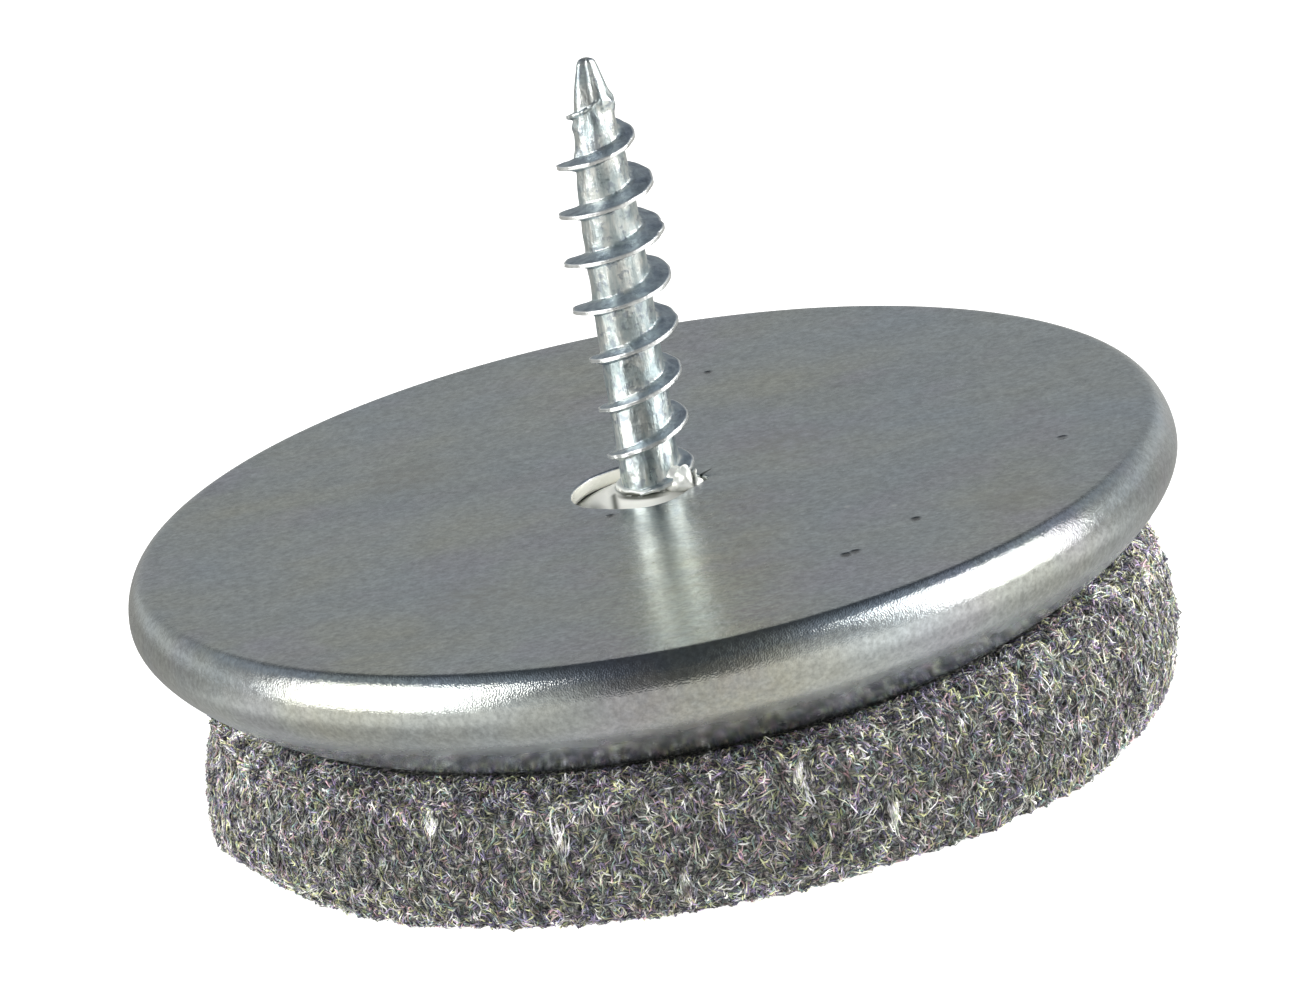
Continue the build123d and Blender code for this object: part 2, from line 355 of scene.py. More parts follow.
def zinc_screw():
    """Brighter zinc on the rolled screw, with drawn streaks along the shank and a little darkening."""
    mat, t, bsdf, place = principled("zinc_plated_screw")
    flank = t.add("ShaderNodeAttribute", attribute_name="flank").outputs["Fac"]
    edge = t.add("ShaderNodeAttribute", attribute_name="edge").outputs["Fac"]
    seat = t.add("ShaderNodeAttribute", attribute_name="seat").outputs["Fac"]
    streak = t.noise(t.mapping(place, scale=(3000, 3000, 420)), 1.0, 4.0, 0.65)
    patch = t.noise(place, 1000, 3.0, 0.6)
    blot = t.noise(t.mapping(place, location=(0.2, 0.0, 0.1)), 2400, 3.0, 0.6)
    grain = t.noise(place, 6500, 2.0, 0.6)
    base = t.ramp(streak, [(0.32, (0.50, 0.57, 0.58)), (0.45, (0.74, 0.79, 0.78)), (0.56, (0.90, 0.91, 0.87)), (0.72, (0.97, 0.96, 0.91))])
    base = t.mix(t.range(patch, 0.47, 0.60, 0.0, 0.70), base, (0.47, 0.56, 0.58))
    base = t.mix(t.range(blot, 0.54, 0.62, 0.0, 0.70), base, (0.36, 0.40, 0.46))
    # painted reflection: the thread flanks are darkened to a blue-grey, the dark surroundings they reflect
    dark = t.ramp(blot, [(0.34, (0.30, 0.35, 0.42)), (0.50, (0.44, 0.50, 0.56)), (0.66, (0.60, 0.67, 0.70))])
    base = t.mix(1.0, base, (0.92, 0.93, 0.93), "MULTIPLY")
    base = t.mix(t.math("MULTIPLY", flank, 0.92), base, dark)
    base = t.mix(t.math("MULTIPLY", edge, 0.9), base, (0.96, 0.96, 0.94))
    # partly painted highlight: the head in the hole is near white
    base = t.mix(t.math("MULTIPLY", seat, 0.95), base, (1.0, 0.99, 0.92))
    # painted shade round the screw's foot in the hole and in the weld's notch, and a dark line across the cone
    painted_shade_and_line = t.add("ShaderNodeAttribute", attribute_name="painted_shade_and_line").outputs["Fac"]
    base = t.mix(painted_shade_and_line, base, (0.05, 0.055, 0.04))
    # the head in the hole and the weld are matt and near white: partly a matt zinc deposit, partly a painted highlight
    # for the bright cone in the hole
    t.link(t.math("SUBTRACT", 1.0, t.math("MULTIPLY", seat, 0.97)), bsdf.inputs["Metallic"])
    t.link(base, bsdf.inputs["Base Color"])
    rough = t.math("ADD", t.range(streak, 0.3, 0.7, 0.26, 0.37), t.range(patch, 0.4, 0.7, 0.0, 0.08))
    rough = t.math("ADD", rough, t.math("MULTIPLY", flank, 0.10))
    t.link(rough, bsdf.inputs["Roughness"])
    b = t.add("ShaderNodeBump")
    b.inputs["Strength"].default_value = 0.8
    b.inputs["Distance"].default_value = 0.00006
    height = t.math("ADD", t.math("MULTIPLY", streak, 0.8), t.math("MULTIPLY", patch, 0.8))
    height = t.math("ADD", height, t.math("ADD", t.math("MULTIPLY", blot, 0.5), t.math("MULTIPLY", grain, 0.25)))
    height = t.math("MULTIPLY", height, t.math("SUBTRACT", 1.0, t.math("MULTIPLY", seat, 0.7)))
    t.link(height, b.inputs["Height"])
    t.link(b.outputs["Normal"], bsdf.inputs["Normal"])
    return mat


def felt_core():
    """The felt under the surface fibres: its strands are the felt's own, its dark ground is painted shade for the depth
    between the fibres.
    """
    mat, t, bsdf, place = principled("felt_core")
    n = t.noise(place, 2600, 4.0, 0.7)
    fine = t.noise(t.mapping(place, scale=(8500, 8500, 2800)), 1.0, 3.0, 0.65)
    across = t.noise(t.mapping(place, scale=(3200, 3200, 9500), location=(3.0, 1.0, 2.0)), 1.0, 3.0, 0.65)
    which = t.range(n, 0.46, 0.54, 0.0, 1.0)
    strands = t.math("ADD", t.math("MULTIPLY", fine, t.math("SUBTRACT", 1.0, which)), t.math("MULTIPLY", across, which))
    # painted shade: the darkest stops stand for the depth between the fibres
    base = t.ramp(strands, [(0.36, (0.022, 0.023, 0.026)), (0.47, (0.085, 0.088, 0.085)), (0.56, (0.23, 0.23, 0.21)), (0.66, (0.46, 0.46, 0.44))])
    hue = t.noise(t.mapping(place, location=(1.0, 4.0, 2.0)), 5200, 1.0, 0.5, out="Color")
    base = t.mix(0.22, base, hue, "OVERLAY")
    t.link(base, bsdf.inputs["Base Color"])
    bsdf.inputs["Roughness"].default_value = 0.95
    bsdf.inputs["Specular IOR Level"].default_value = 0.2
    b = t.add("ShaderNodeBump")
    b.inputs["Strength"].default_value = 1.0
    b.inputs["Distance"].default_value = 0.00012
    t.link(t.math("ADD", strands, n), b.inputs["Height"])
    t.link(b.outputs["Normal"], bsdf.inputs["Normal"])
    return mat


def felt_fibre(name, stops, seed):
    """Wool and synthetic fibres: each has its own grey, some tinted; darker and lighter patches a few millimetres wide."""
    mat, t, bsdf, place = principled(name)
    own = t.add("ShaderNodeNewGeometry").outputs["Random Per Island"]
    base = t.ramp(own, stops, "CONSTANT")
    patch = t.noise(t.mapping(place, location=(0.7, 0.3, 0)), 760, 3.0, 0.6)
    broad = t.noise(t.mapping(place, location=(0.2, 0.9, 0)), 260, 2.0, 0.5)
    along = t.noise(t.mapping(place, location=(0, seed, 0)), 5200, 2.0, 0.6)
    clump = t.noise(t.mapping(place, scale=(2100, 2100, 1500), location=(0.4, 0.1, 0.6)), 1.0, 3.0, 0.6)
    shade = t.math("MULTIPLY", t.range(patch, 0.34, 0.66, 0.66, 1.34), t.range(along, 0.3, 0.7, 0.72, 1.26))
    shade = t.math("MULTIPLY", shade, t.range(clump, 0.37, 0.63, 0.28, 1.76))
    shade = t.math("MULTIPLY", shade, t.range(broad, 0.35, 0.65, 0.86, 1.07))
    # painted light: the fibres are paler towards the bottom edge, where the floor lights them
    height = t.add("ShaderNodeSeparateXYZ")
    t.link(place, height.inputs[0])
    shade = t.math("MULTIPLY", shade, t.range(height.outputs["Z"], 0.0002, 0.0017, 1.40, 0.98, smooth=True))
    # painted light: a little darker lower down and paler towards the top
    shade = t.math("MULTIPLY", shade, t.range(height.outputs["Z"], 0.0034, 0.0052, 0.95, 1.30, smooth=True))
    grey = t.add("ShaderNodeCombineColor")
    for k in range(3):
        t.link(shade, grey.inputs[k])
    base = t.mix(1.0, base, grey.outputs[0], "MULTIPLY")
    hue = t.noise(t.mapping(place, location=(2.0, seed, 1.0)), 2300, 1.0, 0.5, out="Color")
    base = t.mix(0.24, base, hue, "OVERLAY")
    t.link(base, bsdf.inputs["Base Color"])
    bsdf.inputs["Roughness"].default_value = 0.75
    bsdf.inputs["Specular IOR Level"].default_value = 0.35
    bsdf.inputs["Sheen Weight"].default_value = 0.15
    return mat


# ------------------------------------------------------------------ the pressed cup
def make_cup(material):
    edge_r, edge_d = 0.94, 1.49
    lip_r, lip_d = 16.0, 5.15
    hole, hole_x = 2.65, -0.10
    parts = [
        line((hole, TOP - SHEET), (hole, TOP - 0.10), 4, (True, False)),
        arc(hole + 0.10, TOP - 0.10, 0.10, 0.10, 180, 90, 4),
        line((hole + 0.10, TOP), (4.0, TOP), 8, (False, True)),
        line((4.0, TOP), (18.0, TOP), 26, (False, True)),
        line((18.0, TOP), (R - edge_r, TOP), 8, (False, True)),
        arc(R - edge_r, TOP - edge_d, edge_r, edge_d, 90, 0, 22, (False, True)),
        bezier([(R, TOP - edge_d), (R, TOP - edge_d - 1.31), (lip_r + 1.98, TOP - lip_d + 0.95), (lip_r, TOP - lip_d)], 22, (False, True)),
        np.array([(lip_r - 0.14, TOP - lip_d - 0.02), (lip_r - 0.28, TOP - lip_d + 0.04), (lip_r - 0.355, TOP - lip_d + 0.15), (lip_r - 0.34, TOP - lip_d + 0.32), (lip_r - 0.27, TOP - lip_d + 0.45)]),
        bezier([(lip_r - 0.23, TOP - lip_d + 0.495), (lip_r + 1.75, TOP - lip_d + 1.53), (R - SHEET, TOP - edge_d - 1.06), (R - SHEET, TOP - edge_d)], 16),
        arc(R - 1.20, TOP - edge_d, 1.20 - SHEET, edge_d - SHEET, 0, 90, 8, (False, True)),
        line((R - 1.20, TOP - SHEET), (hole, TOP - SHEET), 14, (False, False)),
    ]
    profile = np.vstack(parts)
    rim = waves(3, 14, (2, 16), (0.0, 0.12), 0.6)
    plate = waves(5, 10, (1, 5), (0.02, 0.08), 0.3)

    def shift(phi, index, r, z):
        outer = np.clip((r - 17.5) / 2.0, 0, 1)
        low = np.clip((TOP - z) / 4.0, 0, 1)
        r = r + outer * rim(phi, z) * (0.010 + 0.022 * low) - outer * 0.03
        # the plate is pressed very slightly hollow and is never quite flat
        z = z + np.clip((r - 3) / 4, 0, 1) * np.clip((19.0 - r) / 2, 0, 1) * (plate(phi, r) * 0.004 - 0.010)
        # the punched hole's edge is a little ragged on its right
        near = np.clip(1 - (r - hole) / 0.9, 0, 1)
        r = r + near * (0.16 * bump_at(phi, -14, 7) - 0.62 * bump_at(phi, 12, 27) - 0.42 * bump_at(phi, -44, 22) + 0.012 * rim(phi, 0))
        r = r + near * (hole_x * np.cos(phi) + 0.03 * bump_at(phi, 184, 30) - 0.20 * bump_at(phi, 234, 26) + 0.04 * bump_at(phi, 268, 12))
        z = z + near * (z > TOP - 0.3) * (-0.035 * bump_at(phi, -14, 8) + 0.015 * bump_at(phi, -35, 12))
        z = np.minimum(z, TOP)
        return r, z

    verts, faces = revolved(profile, 280, shift, ring=True)
    # the profile runs from the hole outwards over the top, so the faces are turned to look outwards
    faces = [f[:, ::-1] for f in faces]
    return new_mesh("cup_shell", verts, faces, material)


# ------------------------------------------------------------------ the wood screw
LEAN = math.radians(1.8)
FOOT = np.array([0.28, 0.24, TOP - 0.10])
AX = np.array([math.cos(LEAN), 0, -math.sin(LEAN)])
AY = np.array([0.0, 1.0, 0.0])
AZ = np.array([math.sin(LEAN), 0, math.cos(LEAN)])
LENGTH = 16.84
PITCH = 1.87
PHASE = 0.63


def stand(v):
    """From the screw's own axes to the frame."""
    v = np.asarray(v, float)
    return FOOT + v[:, :1] * AX + v[:, 1:2] * AY + v[:, 2:3] * AZ


def screw_shank():
    n = 96
    rows = np.array([-0.935, -0.76, -0.62, -0.50, -0.42, -0.36, -0.31, -0.27, -0.23, -0.19, -0.16, -0.13, -0.10, -0.062, -0.02,
                     0.02, 0.062, 0.09, 0.12, 0.155, 0.19, 0.23, 0.27, 0.31, 0.36, 0.42, 0.50, 0.62, 0.76])
    m = len(rows)
    turns = np.arange(-1, 11)
    w = np.tile(rows, len(turns))
    k = np.repeat(turns, m)
    col = np.arange(n)
    theta = col * TAU / n
    t = k[None, :] + col[:, None] / n  # turns counted from the crest on the +X side
    z = PHASE + PITCH * t + w[None, :]
    th = np.broadcast_to(theta[:, None], z.shape)

    core = np.interp(z, [0.0, 6.5, 9.6, 11.9, 13.7, 15.3, LENGTH - 0.2, LENGTH],
                     [1.14, 1.14, 1.12, 1.03, 0.87, 0.64, 0.33, 0.33])
    streaks = waves(11, 16, (3, 17), (0.0, 0.10))
    dents = waves(12, 22, (1, 7), (0.15, 0.75))
    core = core * (1 + 0.006 * streaks(th, z)) + 0.010 * dents(th, z) * np.clip((LENGTH - z) / 2, 0, 1)
    # the point is pinched: two flats and a groove along it, with a lobe of squeezed-out metal on the right
    pinch = np.clip((z - 14.2) / 2.0, 0, 1) * np.clip((LENGTH + 0.3 - z) / 0.5, 0, 1)
    core = core * (1 + pinch * (0.10 * np.cos(2 * (th - 0.2)) + 0.05 * np.cos(3 * th + 1.1) - 0.22 * bump_at(th, -74, 15) + 0.06 * np.cos(5 * th)))
    ragged = waves(14, 20, (2, 12), (0.3, 1.6))
    lobe = np.exp(-(((z - 15.10) / 0.36) ** 2)) * bump_at(th, -8, 40)
    core = core + lobe * (0.12 + 0.05 * ragged(th, z)) - 0.08 * np.exp(-(((z - 14.80) / 0.13) ** 2)) * bump_at(th, -48, 24)
    core = core + 0.10 * np.exp(-(((z - 14.25) / 0.22) ** 2)) * bump_at(th, 190, 30)
    crest = np.interp(t, [-0.45, 0.0, 0.5, 1.0, 1.5, 2.0, 2.5, 3.0, 4.0, 5.0, 6.0, 6.5, 7.0, 7.5, 7.75, 8.3],
                      [1.20, 1.68, 1.46, 1.74, 1.52, 1.76, 1.58, 1.90, 1.93, 1.93, 1.80, 1.66, 1.38, 1.00, 0.66, 0.30])
    nick = waves(13, 24, (1, 13), (0.05, 0.5))
    crest = crest + 0.016 * nick(th, z) - 0.05 * np.clip(nick(th * 1.0, z * 1.7) - 1.5, 0, 1)
    crest = np.where(t < -0.45, 0.5, crest)
    # a thin blade: slightly hollow flanks that run into the core in a fillet
    side = np.abs(w[None, :])
    depth = np.clip(crest - core, 1e-4, None)
    over = np.clip(side - 0.060, 0, None)
    ridge = depth * np.clip(1 - over / (0.30 * depth + 0.01), 0, 1) ** 1.15
    ridge = ridge + 0.05 * np.clip(depth / 0.4, 0, 1) * np.exp(-over / 0.10) * (over > 0) - 0.02 * (side > 0.05) * (side < 0.07)
    ridge = np.where(crest > core, np.clip(ridge, 0, None), 0)
    r = core + ridge
    there = np.clip((crest - core - 0.12) / 0.25, 0, 1)
    edge = there * (side < 0.07)
    flank = there * np.clip((ridge - 0.06) / 0.16, 0, 1) * (side > 0.07)
    # a burr and a few rolling laps
    for tb, wb, size, amount in ((6.56, 0.35, 0.16, 0.09), (4.62, 0.45, 0.12, 0.05), (2.70, -0.42, 0.15, 0.05), (5.30, 0.50, 0.12, 0.06)):
        d = ((t - tb) * TAU * 1.1 / size / 1.6) ** 2 + ((w[None, :] - wb) / size) ** 2
        r = r + amount * np.exp(-d)
    # near the plate the thread hangs a little lower on the left
    z = z - 0.24 * (0.5 - 0.5 * np.cos(th)) * np.clip((6.5 - z) / 2.0, 0, 1) * np.clip(z / 1.0, 0, 1)
    # rows past the ends are drawn together, so the helix closes without a step
    z0, room = LENGTH - 0.16, 0.16
    z = np.where(z > z0, z0 + room * (1 - np.exp(-(z - z0) / room)), z)
    r = r * np.sqrt(np.clip(1 - (np.clip(z - (LENGTH - 0.22), 0, None) / 0.2201) ** 2, 0, 1))  # a rounded end
    low, room = -0.9, 0.3
    z = np.where(z < low, low - room * (1 - np.exp((z - low) / room)), z)
    rows_all = z.shape[1]
    xyz = np.stack([r * np.cos(th), r * np.sin(th), z], 2).reshape(-1, 3)
    # columns i, rows j; after the last column a row goes on as the one a turn higher
    i, j = np.meshgrid(np.arange(n), np.arange(rows_all - 1), indexing="ij")
    a = i * rows_all + j
    nxt = np.where(i < n - 1, (i + 1) * rows_all + j, j + m)
    nxt_up = np.where(i < n - 1, (i + 1) * rows_all + j + 1, j + 1 + m)
    keep = (i < n - 1) | (j + 1 + m < rows_all)
    quads = np.stack([a, nxt, nxt_up, a + 1], 2)[keep]
    # each end's open edge runs once round and then down or up the seam; a fan closes it
    bottom = [c * rows_all for c in range(n)] + [m - q for q in range(0, m)]
    top = [c * rows_all + rows_all - 1 for c in range(n)][::-1]
    last = rows_all - 1
    seam = [(n - 1) * rows_all + q for q in range(last - m, last)]
    count = len(xyz)
    xyz = np.vstack([xyz, [[0, 0, -1.25], [0, 0, LENGTH]]])
    fan = []
    for q in range(len(bottom)):
        fan.append((count, bottom[(q + 1) % len(bottom)], bottom[q]))
    loop = top + seam
    for q in range(len(loop)):
        fan.append((count + 1, loop[(q + 1) % len(loop)], loop[q]))
    marks = np.zeros((len(xyz), 4))
    marks[:count, 0] = flank.ravel()
    marks[:count, 1] = edge.ravel()
    return xyz, [quads, np.array(fan)], marks


def screw_head():
    """The low cone head under the plate, and the neck that stands a little above it."""
    profile = np.vstack([
        [(0.0, -1.75)],
        line((0.6, -1.75), (3.85, -1.75), 8),
        [(3.92, -1.72), (3.98, -1.66), (4.0, -1.60)],
        line((4.0, -1.50), (4.0, -1.27), 2),
        line((3.95, -1.23), (3.00, -0.68), 8, (True, False)),
        line((3.00, -0.68), (1.46, -0.02), 44),
        [(1.40, 0.01), (1.37, 0.00), (1.345, 0.01), (1.335, 0.06)],
        [(1.34, 0.12), (1.335, 0.16), (1.30, 0.185), (1.24, 0.19)],
        line((1.19, 0.185), (1.04, 0.17), 3),
        [(0.9, 0.17)],
        [(0.0, 0.17)],
    ])
    rough = waves(21, 16, (2, 12), (0.0, 0.6))

    def shift(phi, index, r, z):
        visible = np.clip((1.45 - r) / 0.05, 0, 1) * np.clip((r - 1.0) / 0.15, 0, 1) * (z > -0.1)
        return r + visible * 0.014 * rough(phi, z), z + visible * 0.016 * rough(phi, r)

    v, f = revolved(profile, 192, shift, ring=False)
    marks = np.zeros((len(v), 4))
    marks[:, 2] = 1.0
    # painted shade: a dark line round the foot in front and darker patches on the cone in the hole; also a dark line
    # across the cone on the left
    ring = np.hypot(v[:, 0], v[:, 1])
    phi = np.arctan2(v[:, 1], v[:, 0])
    foot = np.clip(np.exp(-(((ring - 1.50) / 0.10) ** 2)) * 1.3, 0, 1) * np.clip(bump_at(phi, -112, 44) * 1.3, 0, 1)
    mark = np.exp(-(((v[:, 0] + 1.50) / 0.13) ** 2)) * np.clip((-0.2 - v[:, 1]) / 0.3, 0, 1)
    soft = 0.45 * np.clip((2.10 - ring) / 0.25, 0, 1) * bump_at(phi, -58, 30)
    notch = bump_at(phi, -6, 20)
    corner = 0.75 * np.clip((ring - 2.05) / 0.35, 0, 1) * bump_at(phi, 200, 16) + 0.30 * np.clip((1.75 - ring) / 0.2, 0, 1) * bump_at(phi, 200, 40)
    painted_shade_marks = np.maximum(np.maximum(0.92 * foot, 0.9 * mark), np.maximum(np.maximum(soft, corner), notch)) * (ring > 1.41)
    # painted shade under the ring's own lower edge too
    painted_shade_marks = np.maximum(painted_shade_marks, (ring > 1.28) * (ring <= 1.41) * (v[:, 2] < 0.08) * np.clip(bump_at(phi, -112, 50) * 1.3, 0, 1))
    marks[:, 3] = np.where(v[:, 2] > -0.8, painted_shade_marks, 0)
    marks[(ring < 1.41) & (v[:, 2] > -0.1), 2] = 0.6
    return v, f, marks


def weld_spot():
    """A rough crumb of weld on the shoulder, right of the shank."""
    rings, around = 26, 44
    profile = [(0.0, -1.0)] + [(math.cos(a), math.sin(a)) for a in np.linspace(-math.pi / 2, math.pi / 2, rings + 2)[1:-1]] + [(0.0, 1.0)]
    lump = waves(31, 14, (1, 4), (0.2, 0.8))
    fine = waves(32, 20, (4, 9), (0.6, 1.6))

    def shift(phi, index, r, z):
        calm = np.clip(r * 1.6, 0, 1)
        g = 1 + calm * (0.13 * lump(phi, z) + 0.055 * fine(phi, z))
        return r * g, z * g

    v, f = revolved(profile, around, shift, ring=False)
    v = v * np.array([0.70, 0.54, 0.52])
    # a notch across the top, towards the camera's right
    cut = np.exp(-(((v[:, 0] - 0.40) / 0.09) ** 2)) * (v[:, 2] > -0.1)
    v[:, 2] -= 0.26 * cut * np.clip(v[:, 2] / 0.3 + 0.4, 0, 1)
    marks = np.zeros((len(v), 4))
    marks[:, 2] = 0.72
    # painted shade: the notch is darkened
    marks[:, 3] = 0.9 * np.clip(cut * 1.4 - 0.4, 0, 1)
    return v + np.array([1.15, -0.85, 0.23]), f, marks


def make_screw(material):
    verts, groups, masks, count = [], [], [], 0
    for v, fs, marks in (screw_shank(), screw_head(), weld_spot()):
        verts.append(v)
        masks.append(marks)
        groups += [f + count for f in fs]
        count += len(v)
    ob = new_mesh("threaded_screw", stand(np.vstack(verts)), groups, material)
    masks = np.vstack(masks).astype(np.float32)
    for k, name in enumerate(("flank", "edge", "seat", "painted_shade_and_line")):
        layer = ob.data.attributes.new(name, "FLOAT", "POINT")
        layer.data.foreach_set("value", np.ascontiguousarray(masks[:, k]))
    return ob


# ------------------------------------------------------------------ the felt
# the pad's own outline where it shows, from the pinch under the lip down the side and in under the pad
SIDE_TOP = 5.40
felt_line = np.vstack([
    line((15.62, SIDE_TOP + 0.06), (17.05, SIDE_TOP - 0.02), 14, (True, False)),
    bezier([(17.05, SIDE_TOP - 0.02), (17.70, SIDE_TOP - 0.06), (17.95, SIDE_TOP - 0.30), (18.02, 4.75)], 10, (True, False)),
    bezier([(18.02, 4.75), (18.20, 3.90), (FR - 0.09, 2.90), (FR - 0.09, 1.90)], 22, (True, False)),
    arc(FR - 0.88, 1.90, 0.79, 1.84, 0, -90, 20, (True, False)),
    line((FR - 0.88, 0.06), (0.0, 0.06), 44),
])
felt_s = np.concatenate([[0], np.cumsum(np.linalg.norm(np.diff(felt_line, axis=0), axis=1))])
FELT_END = felt_s[-1]
BOTTOM_AT = float(np.interp(-(FR - 0.88), -felt_line[-45:, 0], felt_s[-45:]))

lumps = waves(41, 26, (2, 22), (0.0, 0.22), 0.45)
lumps2 = waves(42, 30, (16, 60), (0.05, 0.6))
layers = waves(43, 8, (0, 5), (0.25, 0.75))
combed = waves(44, 24, (8, 60), (0.10, 0.55))
clumps = waves(45, 40, (70, 190), (0.1, 1.5))
SIDE = slice(25, 68)


def s_at(z):
    """How far along the outline a height on the pad's side is."""
    return np.interp(-np.asarray(z), -felt_line[SIDE, 1], felt_s[SIDE])


def felt_swell(phi, z, bottom):
    """How far the felt stands out, in millimetres: cut unevenly, flatter or fuller in places, with faint layers."""
    side = 1 - bottom
    left = np.interp(z, [0.0, 0.35, 0.6, 0.85, 1.3, 1.8, 2.1, 2.8, 3.3, 3.8, 4.2, 4.6], [0.0, 0.15, 0.33, 0.30, 0.20, 0.15, 0.04, 0.0, -0.09, -0.16, -0.29, -0.26])
    right = np.interp(z, [0.0, 0.7, 1.4, 2.0, 2.5, 3.3, 4.5], [0.0, -0.11, -0.11, -0.08, 0.0, 0.10, 0.15])
    d = bump_at(phi, 182, 24) * left + bump_at(phi, 0, 26) * right
    d = d - 0.34 * bump_at(phi, 204, 11) * np.clip((1.3 - z) / 0.8, 0, 1)
    d = d + 0.24 * bump_at(phi, 317, 13) * np.clip((1.2 - z) / 0.8, 0, 1)
    # the cut edge is slightly many-sided
    d = d + 0.04 * np.cos(9 * phi + 0.7) * np.clip(1 - z / 3.0, 0, 1)
    d = d + 0.040 * lumps(phi, z) + 0.030 * lumps2(phi, z) + 0.015 * layers(phi * 0 + 0.3, z)
    d = d + 0.050 * clumps(phi, z)
    # it isn't quite in the middle of the cup
    d = d + 0.226 * np.cos(phi) + 0.08 * np.sin(phi)
    return np.clip(side * d + bottom * 0.03 * (lumps2(phi, z) - 1.2), -0.70, 0.60)


def felt_at(phi, s, lift):
    """Points on the felt at an angle and a length along its outline, lift millimetres out of it, and the outward direction."""
    s = np.clip(s, 0.02, FELT_END - 0.05)
    r = np.interp(s, felt_s, felt_line[:, 0])
    z = np.interp(s, felt_s, felt_line[:, 1])
    e = 0.12
    r1, z1 = np.interp(s - e, felt_s, felt_line[:, 0]), np.interp(s - e, felt_s, felt_line[:, 1])
    r2, z2 = np.interp(s + e, felt_s, felt_line[:, 0]), np.interp(s + e, felt_s, felt_line[:, 1])
    tr, tz = r2 - r1, z2 - z1
    length = np.hypot(tr, tz) + 1e-9
    nr, nz = -tz / length, tr / length
    bottom = np.clip((s - BOTTOM_AT + 0.5) / 1.0, 0, 1)
    pinch = np.clip((s - 0.6) / 1.2, 0, 1)
    d = felt_swell(phi, z, bottom) * pinch + lift
    r, z = r + nr * d, z + nz * d
    z = np.maximum(z, 0.012)
    c, sn = np.cos(phi), np.sin(phi)
    return np.stack([r * c, r * sn, z], -1), np.stack([nr * c, nr * sn, nz], -1)


def make_felt_core(material):
    """One closed body: what shows is felt_line, what is inside the cup is plain and clears the screw's head."""
    inside = np.vstack([
        [(0.0, 8.62)],
        [(2.0, 8.62), (4.28, 8.62), (4.36, 8.70)],
        [(4.38, 9.4), (4.40, 10.02), (4.46, 10.08)],
        line((5.2, 10.09), (18.6, 10.09), 14),
        arc(18.75, 9.21, 0.62, 0.86, 80, 0, 6),
        bezier([(19.37, 9.21), (19.37, 8.18), (17.66, 7.13), (15.70, 6.14)], 12, (False, True)),
        [(15.52, 5.95), (15.46, 5.74), (15.50, 5.56)],
    ])
    k = len(inside)
    profile = np.vstack([inside, felt_line])

    def shift(phi, index, r, z):
        shown = index >= k
        s = np.interp(index, np.arange(len(profile)), np.concatenate([np.zeros(k), felt_s]))
        p, _ = felt_at(np.broadcast_to(phi, r.shape), np.broadcast_to(s, r.shape), -0.035)
        ring = np.hypot(p[..., 0], p[..., 1])
        return np.where(shown, ring, r), np.where(shown, p[..., 2], z)

    verts, faces = revolved(profile, 320, shift, ring=False)
    return new_mesh("felt_body", verts, faces, material)


